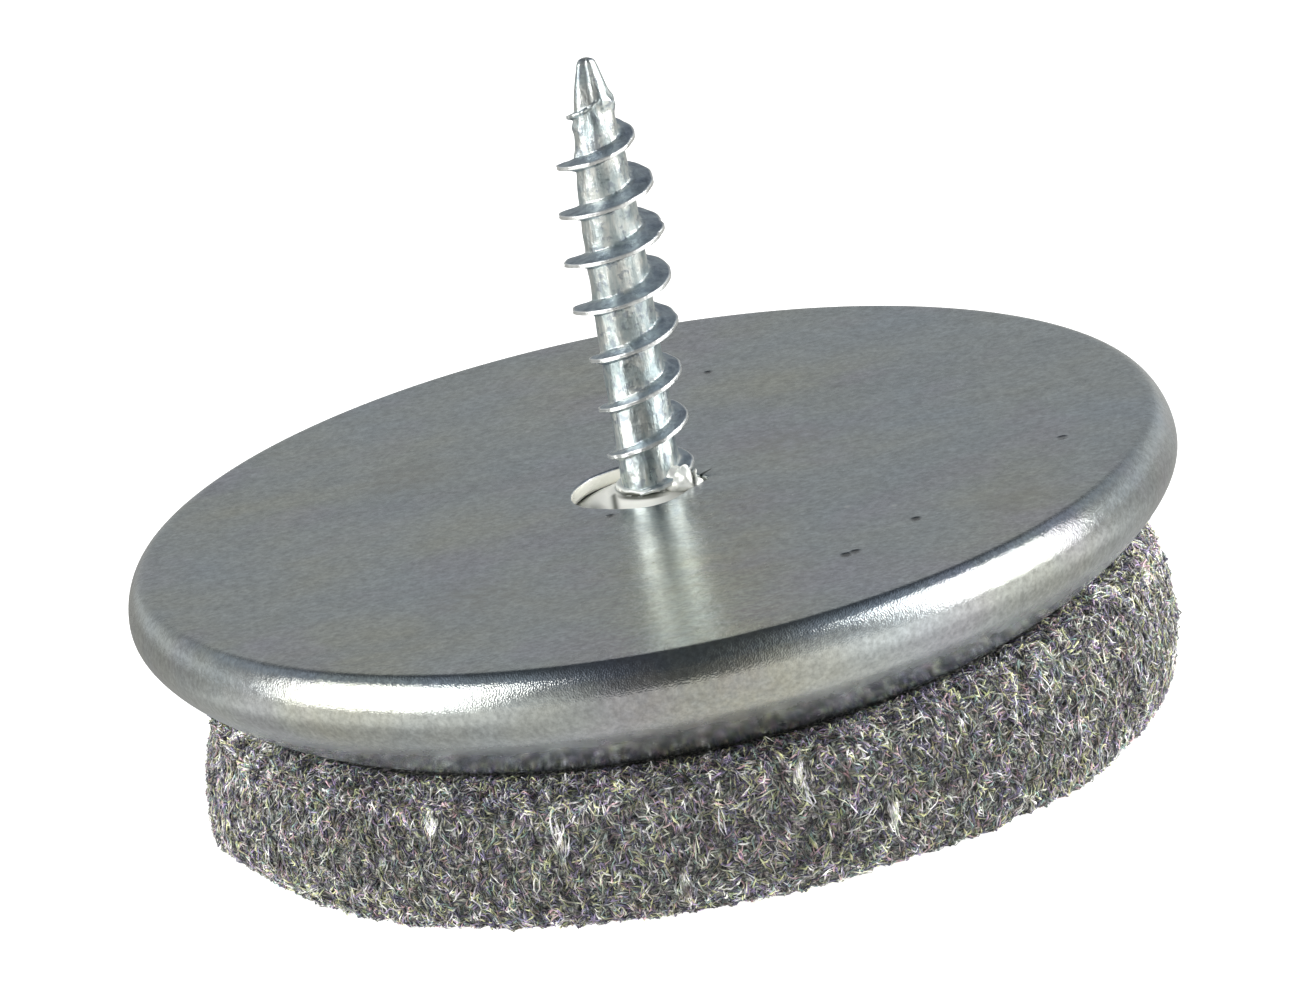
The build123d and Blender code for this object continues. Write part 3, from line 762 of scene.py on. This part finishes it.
def make_fibres(name, material, seed, count, region, lengths, radii, upright, lift, segments=3, tufts=None):
    """Closed tapered tubes that lie tangled on the felt. upright is the spread, in degrees, round the vertical; region is (from, to) along the outline."""
    rng = np.random.default_rng(seed)
    s0 = rng.uniform(region[0], region[1], count)
    if region[1] > BOTTOM_AT + 2:  # spread evenly over a disc
        ring = np.sqrt(rng.uniform(0, 1, count)) * (FR - 0.8)
        s0 = BOTTOM_AT + (FR - 0.88) - ring
        s0 = np.clip(s0, BOTTOM_AT - 0.3, FELT_END - 0.3)
    phi0 = rng.uniform(0, TAU, count)
    if tufts is not None:  # close bundles at given places: (angle in degrees, height, width, length)
        own = np.asarray(tufts)[rng.integers(0, len(tufts), count)]
        phi0 = np.radians(own[:, 0]) + rng.normal(0, 1, count) * own[:, 2] / FR
        s0 = s_at(own[:, 1] + rng.normal(0, 1, count) * own[:, 3])
    turn = np.radians(rng.normal(0, upright, count) + (32 * combed(phi0, s0) if tufts is None else 0))
    size = rng.gamma(3.2, 1 / 3.2, count)
    length = np.clip(lengths[0] + (lengths[1] - lengths[0]) * size * 0.45, lengths[0] * 0.6, lengths[1] * 1.6)
    thick = rng.uniform(radii[0], radii[1], count)
    bend = rng.normal(0, 0.42, count)
    wave = rng.normal(0, 0.34, count)
    raised = rng.uniform(lift[0], lift[1], count)
    tips = rng.uniform(-0.05, 0.01, (count, 2))
    k = segments + 1
    t = np.linspace(-0.5, 0.5, k)[None, :]
    angle = turn[:, None] + bend[:, None] * 2 * t + wave[:, None] * (6 * t * t - 0.5)
    step = length[:, None] / segments
    ds = np.cumsum(np.cos(angle) * step, 1)
    dx = np.cumsum(np.sin(angle) * step, 1)
    ds -= ds.mean(1, keepdims=True)
    dx -= dx.mean(1, keepdims=True)
    s = s0[:, None] + ds
    s = np.where(s < 0.25, 0.25 + (0.25 - s) * 0.3, s)
    ring = np.clip(np.interp(s, felt_s, felt_line[:, 0]), 0.6, None)
    phi = phi0[:, None] + dx / ring
    rise = raised[:, None] * (1 - (2 * t) ** 2) + np.where(t < 0, tips[:, :1], tips[:, 1:]) * (2 * t) ** 2
    centre, out = felt_at(phi, s, rise)
    along = np.gradient(centre, axis=1)
    along /= np.linalg.norm(along, axis=2, keepdims=True) + 1e-12
    across = np.cross(along, out)
    across /= np.linalg.norm(across, axis=2, keepdims=True) + 1e-12
    up = np.cross(across, along)
    girth = thick[:, None] * (1 - 0.72 * np.abs(2 * t) ** 2.2)
    verts = []
    for q in range(3):
        a = TAU * q / 3 + math.pi / 2
        verts.append(centre + girth[..., None] * (math.cos(a) * across + 0.55 * math.sin(a) * up))
    verts = np.stack(verts, 2)  # fibre, ring, corner
    verts[..., 2] = np.maximum(verts[..., 2], 0.004)
    v = verts.reshape(-1, 3)
    base = (np.arange(count) * k * 3)[:, None, None]
    i, q = np.meshgrid(np.arange(segments), np.arange(3), indexing="ij")
    q2 = (q + 1) % 3
    quad = np.stack([i * 3 + q, i * 3 + q2, (i + 1) * 3 + q2, (i + 1) * 3 + q], 2).reshape(-1, 4)
    quads = (base + quad[None]).reshape(-1, 4)
    e = segments * 3
    caps = (base + np.array([[2, 1, 0], [e, e + 1, e + 2]])[None]).reshape(-1, 3)
    ob = new_mesh(name, v, [quads, caps], material)
    # each fibre has its own small cell of a map, so a bake keeps its tint
    cells = math.ceil(math.sqrt(count))
    uv = ob.data.uv_layers.new(name="OFBake")
    own = np.arange(count)
    cu, cv = (own % cells) / cells, (own // cells) / cells
    g = 1.0 / cells
    us = np.linspace(0.14, 0.86, k)
    vs = np.array([0.14, 0.38, 0.62, 0.86])
    quad_uv = np.zeros((segments * 3, 4, 2))
    for a in range(segments):
        for b in range(3):
            quad_uv[a * 3 + b] = [(us[a], vs[b]), (us[a], vs[b + 1]), (us[a + 1], vs[b + 1]), (us[a + 1], vs[b])]
    cap_uv = np.array([[(0.02, 0.2), (0.12, 0.2), (0.07, 0.4)], [(0.88, 0.2), (0.98, 0.2), (0.93, 0.4)]])
    corner = np.concatenate([
        (np.stack([cu, cv], 1)[:, None, None, :] + quad_uv[None] * g).reshape(-1, 2),
        (np.stack([cu, cv], 1)[:, None, None, :] + cap_uv[None] * g).reshape(-1, 2),
    ])
    uv.uv.foreach_set("vector", corner.astype(np.float32).ravel())
    return ob


# ------------------------------------------------------------------ build
cup = make_cup(zinc_cup())
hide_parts("steel_cup")

screw = make_screw(zinc_screw())
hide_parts("wood_screw")

felt = make_felt_core(felt_core())
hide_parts("felt_pad")

GREYS = [
    (0.00, (0.070, 0.066, 0.105)),
    (0.13, (0.14, 0.13, 0.19)),
    (0.26, (0.27, 0.28, 0.17)),
    (0.36, (0.26, 0.21, 0.32)),
    (0.45, (0.20, 0.27, 0.25)),
    (0.54, (0.33, 0.32, 0.30)),
    (0.66, (0.45, 0.46, 0.27)),
    (0.76, (0.43, 0.30, 0.32)),
    (0.83, (0.47, 0.46, 0.46)),
    (0.93, (0.58, 0.58, 0.53)),
]
PALE = [
    (0.00, (0.42, 0.42, 0.39)),
    (0.25, (0.56, 0.57, 0.44)),
    (0.50, (0.62, 0.60, 0.65)),
    (0.75, (0.72, 0.72, 0.68)),
    (0.92, (0.80, 0.80, 0.78)),
]
wool = felt_fibre("felt_wool", GREYS, 0.13)
pale = felt_fibre("felt_pale", PALE, 0.41)
SIDES = (0.5, BOTTOM_AT + 0.6)
TUFTS = [(252.5, 3.5, 0.11, 0.45), (281.5, 4.5, 0.12, 0.40), (291.0, 2.1, 0.11, 0.24), (236.0, 4.5, 0.10, 0.32), (266.0, 1.3, 0.14, 0.16)]
fibres = [
    make_fibres("felt_fibres_a", wool, 101, 12300, SIDES, (0.34, 0.9), (0.032, 0.066), 40, (-0.03, 0.03), 2),
    make_fibres("felt_fibres_b", wool, 102, 12300, SIDES, (0.30, 0.8), (0.028, 0.057), 48, (0.00, 0.07), 2),
    make_fibres("felt_fibres_c", wool, 105, 12300, SIDES, (0.25, 0.7), (0.023, 0.048), 56, (0.02, 0.09), 2),
    make_fibres("felt_fibres_d", wool, 104, 7000, (BOTTOM_AT, FELT_END), (0.7, 1.8), (0.050, 0.100), 180, (-0.02, 0.02), 2),
    make_fibres("felt_fibres_e", pale, 103, 1500, (0.8, BOTTOM_AT + 0.6), (0.5, 1.2), (0.024, 0.042), 26, (0.04, 0.10)),
    make_fibres("felt_fibres_f", pale, 106, 260, SIDES, (0.6, 1.2), (0.024, 0.042), 9, (0.05, 0.12), tufts=TUFTS),
    # loose ends that stand up into the gap under the rim
    make_fibres("felt_fibres_g", wool, 107, 3400, (0.9, 2.8), (0.30, 0.8), (0.026, 0.052), 60, (0.06, 0.32), 2),
]
for ob in [cup, screw, felt] + fibres:
    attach(ob, "root")

# ------------------------------------------------------------------ floor, light, camera
floor_mat = bpy.data.materials.new("floor")
floor_mat.use_nodes = True
ft = Nodes(floor_mat.node_tree)
fo = ft.add("ShaderNodeOutputMaterial")
fb = ft.add("ShaderNodeBsdfPrincipled")
fb.inputs["Base Color"].default_value = (0.60, 0.60, 0.595, 1)
fb.inputs["Roughness"].default_value = 1.0
fb.inputs["Specular IOR Level"].default_value = 0.0
fb.inputs["Emission Color"].default_value = (1.0, 0.998, 0.985, 1)
fb.inputs["Emission Strength"].default_value = 0.92
ft.link(fb.outputs["BSDF"], fo.inputs["Surface"])
floor = new_mesh("floor", np.array([(-9000, -9000, 0), (9000, -9000, 0), (9000, 9000, 0), (-9000, 9000, 0)]), np.array([[0, 1, 2, 3]]), floor_mat, False)
# the floor is pale to the eye; what the metal and the felt see of it is a mid-grey card
floor.visible_glossy = False
floor.visible_diffuse = False
card_mat = bpy.data.materials.new("floor_card")
card_mat.use_nodes = True
ct = Nodes(card_mat.node_tree)
co = ct.add("ShaderNodeOutputMaterial")
ce = ct.add("ShaderNodeEmission")
ce.inputs["Color"].default_value = (0.99, 0.99, 0.955, 1)
# painted light: its glow is brightest where the two softboxes would light the floor, in front on the left and right,
# dimmer towards the back and changing from left to right
at = ct.add("ShaderNodeTexCoord").outputs["Object"]
unit = ct.add("ShaderNodeVectorMath", operation="NORMALIZE")
ct.link(at, unit.inputs[0])
away = ct.add("ShaderNodeVectorMath", operation="LENGTH")
ct.link(at, away.inputs[0])
part = ct.add("ShaderNodeSeparateXYZ")
ct.link(unit.outputs["Vector"], part.inputs[0])
toward = ct.math("ADD", ct.math("MULTIPLY", ct.math("ABSOLUTE", part.outputs["X"]), 0.866), ct.math("MULTIPLY", part.outputs["Y"], -0.5))
glow = ct.math("MULTIPLY", ct.range(toward, 0.72, 0.97, 0.0, 0.38, smooth=True), ct.range(away.outputs["Value"], 0.024, 0.038, 0.0, 1.0, smooth=True))
rear = ct.range(part.outputs["Y"], 0.0, 0.6, 0.0, 0.12, smooth=True)
slant = ct.math("SUBTRACT", ct.range(part.outputs["X"], -0.7, 0.35, -0.08, 0.15), ct.range(part.outputs["X"], 0.60, 0.95, 0.0, 0.20))
level = ct.math("ADD", ct.math("SUBTRACT", ct.math("ADD", glow, 0.53), rear), slant)
# it throws more light up into the felt than it shows in the metal
matt = ct.add("ShaderNodeLightPath").outputs["Is Diffuse Ray"]
ct.link(ct.math("ADD", level, ct.math("MULTIPLY", matt, 0.75)), ce.inputs["Strength"])
ct.link(ce.outputs["Emission"], co.inputs["Surface"])
card = new_mesh("floor_card", np.array([(-9000, -9000, -0.02), (9000, -9000, -0.02), (9000, 9000, -0.02), (-9000, 9000, -0.02)]), np.array([[0, 1, 2, 3]]), card_mat, False)
card.visible_camera = False
card.visible_shadow = False


def softbox(name, azimuth, elevation, distance, width, height, radiance, colour=(1, 1, 1)):
    """A rectangular lamp round the object: azimuth from the front, + to the right, in degrees."""
    data = bpy.data.lights.new(name, "AREA")
    data.shape = "RECTANGLE"
    data.size, data.size_y = width, height
    data.energy = radiance * math.pi * width * height
    data.color = colour
    ob = bpy.data.objects.new(name, data)
    a, e = math.radians(azimuth), math.radians(elevation)
    place = Vector((math.sin(a) * math.cos(e), -math.cos(a) * math.cos(e), math.sin(e))) * distance + Vector((0, 0, 0.009))
    ob.location = place
    ob.rotation_euler = (Vector((0, 0, 0.009)) - place).to_track_quat("-Z", "Y").to_euler()
    bpy.context.scene.collection.objects.link(ob)
    return ob


softbox("left_softbox", -68.4, 23, 0.60, 0.47, 0.54, 3.6, (1.0, 0.99, 0.965))
softbox("right_softbox", 75, 24, 0.60, 0.43, 0.54, 3.6, (1.0, 0.99, 0.965))
# low fill from both sides, for the felt only: too wide and soft to show in the metal
for name, azimuth, radiance in (("left_fill", -88, 7.2), ("right_fill", 110, 23.0)):
    softbox(name, azimuth, 4, 0.60, 0.40, 0.30, radiance, (1.0, 0.99, 0.975)).visible_glossy = False

world = bpy.data.worlds.new("studio")
world.use_nodes = True
wt = Nodes(world.node_tree)
wo = wt.add("ShaderNodeOutputWorld")
bg = wt.add("ShaderNodeBackground")
wt.link(bg.outputs["Background"], wo.inputs["Surface"])
xyz = wt.add("ShaderNodeSeparateXYZ")
wt.link(wt.add("ShaderNodeTexCoord").outputs["Generated"], xyz.inputs[0])
low = wt.range(xyz.outputs["Z"], 0.46, 0.60, 1.0, 0.0, smooth=True)
back = wt.range(xyz.outputs["Y"], -0.25, 0.35, 0.0, 1.0, smooth=True)
sides = wt.range(wt.math("ABSOLUTE", xyz.outputs["X"]), 0.16, 0.48, 0.0, 1.0, smooth=True)
lit = wt.math("MAXIMUM", wt.math("MULTIPLY", low, back), wt.math("MULTIPLY", sides, wt.range(xyz.outputs["Z"], 0.20, 0.40, 1.75, 1.0, smooth=True)))
grey = wt.math("ADD", wt.math("MULTIPLY", lit, 0.270), wt.math("MULTIPLY", low, 0.030))
seen = wt.ramp(wt.math("ADD", grey, 0.070), [(0.0, 0.0), (1.0, (0.965, 1.0, 1.01))])
# to the eye the studio's walls are as pale as the floor
eye = wt.add("ShaderNodeLightPath").outputs["Is Camera Ray"]
overhead = wt.range(xyz.outputs["Z"], 0.40, 0.70, 0.0, 1.0, smooth=True)
seen = wt.mix(overhead, seen, wt.mix(1.0, seen, (0.82, 0.92, 1.08), "MULTIPLY"))
wt.link(wt.mix(eye, seen, (1.05, 1.05, 1.045)), bg.inputs["Color"])
bg.inputs["Strength"].default_value = 1.0
bpy.context.scene.world = world

# the photograph's view: fitted to the plate's outline, the screw and the rim
PAN, TILT, ROLL = 0.0002, 0.3210, -0.1904
d = Vector((math.sin(PAN) * math.cos(TILT), math.cos(PAN) * math.cos(TILT), -math.sin(TILT)))
right = d.cross(Vector((0, 0, 1))).normalized()
up = right.cross(d)
cam_right = math.cos(ROLL) * right + math.sin(ROLL) * up
cam_up = -math.sin(ROLL) * right + math.cos(ROLL) * up
cam_data = bpy.data.cameras.new("camera")
cam_data.lens = 332.3
cam_data.sensor_width = 36.0
cam_data.clip_start = 0.01
cam_data.clip_end = 50.0
cam = bpy.data.objects.new("camera", cam_data)
cam.matrix_world = Matrix((
    (cam_right[0], cam_up[0], -d[0], 0.0),
    (cam_right[1], cam_up[1], -d[1], -0.42761),
    (cam_right[2], cam_up[2], -d[2], TOP * MM + 0.14152),
    (0, 0, 0, 1),
))
bpy.context.scene.collection.objects.link(cam)
bpy.context.scene.camera = cam
bpy.context.scene.view_settings.view_transform = "Standard"
bpy.context.scene.view_settings.look = "None"
